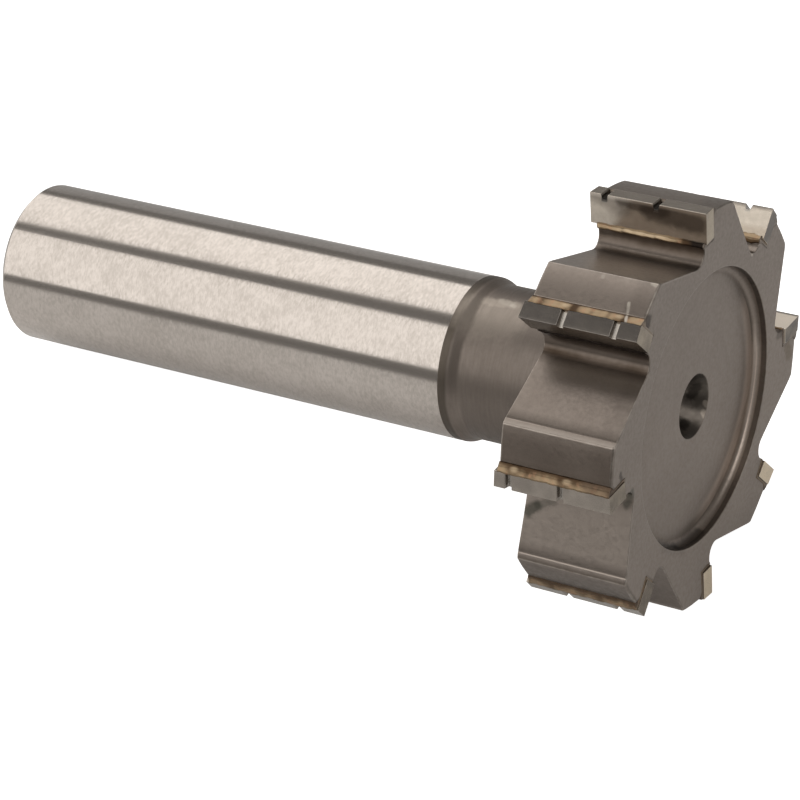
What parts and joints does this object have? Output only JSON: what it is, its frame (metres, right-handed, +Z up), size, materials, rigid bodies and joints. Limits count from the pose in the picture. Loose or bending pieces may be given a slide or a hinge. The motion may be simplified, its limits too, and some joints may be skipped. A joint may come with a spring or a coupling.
{
  "type": "woodruff keyseat cutter",
  "caption": "Shank-type milling cutter with straight brazed carbide teeth round a recessed disc head, for cutting half-moon key slots in shafts.",
  "frame": {"origin": "bottom centre of the bounding box of the tool as it lies at rest on a cutting edge, a tooth heel and the rim of its shank end", "axes": "+Z up from the bench, +X along the bench from the shank end towards the cutting head, whose axis rises ten degrees towards +X"},
  "size_m": [0.0624, 0.0304, 0.0315],
  "materials": {
    "steel": "satin",
    "carbide": "satin",
    "braze": "satin"
  },
  "bodies": {
    "root": {"cutter_body": "steel", "carbide_tip_1": "carbide", "braze_seam_1": "braze", "carbide_tip_2": "carbide", "braze_seam_2": "braze", "carbide_tip_3": "carbide", "braze_seam_3": "braze", "carbide_tip_4": "carbide", "braze_seam_4": "braze", "carbide_tip_5": "carbide", "braze_seam_5": "braze", "carbide_tip_6": "carbide", "braze_seam_6": "braze", "carbide_tip_7": "carbide", "braze_seam_7": "braze", "carbide_tip_8": "carbide", "braze_seam_8": "braze"}
  },
  "joints": []
}
